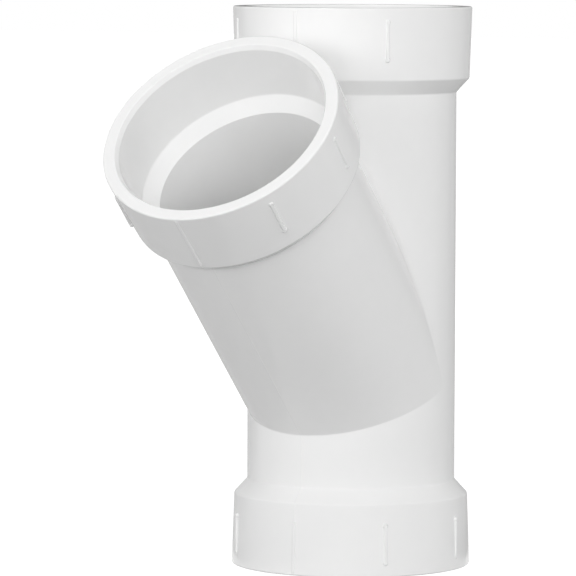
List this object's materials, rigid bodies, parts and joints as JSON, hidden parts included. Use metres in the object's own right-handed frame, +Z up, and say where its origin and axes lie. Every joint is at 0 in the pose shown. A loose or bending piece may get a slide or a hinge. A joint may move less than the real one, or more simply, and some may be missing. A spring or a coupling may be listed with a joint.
{
  "type": "pvc wye fitting",
  "caption": "White moulded drain wye: a straight run with one equal branch at 45 degrees, and a solvent-weld socket in a ribbed hub on each end.",
  "frame": {"origin": "on the floor, under the middle of the whole fitting's box; the run's axis is 33.42 mm towards +X", "axes": "+Z up along the straight run, branch leaning towards -X in the XZ plane, which is the plane of symmetry"},
  "size_m": [0.1366, 0.0698, 0.1619],
  "materials": {
    "white_pvc": "smooth gloss, as moulded"
  },
  "bodies": {
    "root": {"wye_body": "white_pvc"}
  },
  "joints": []
}
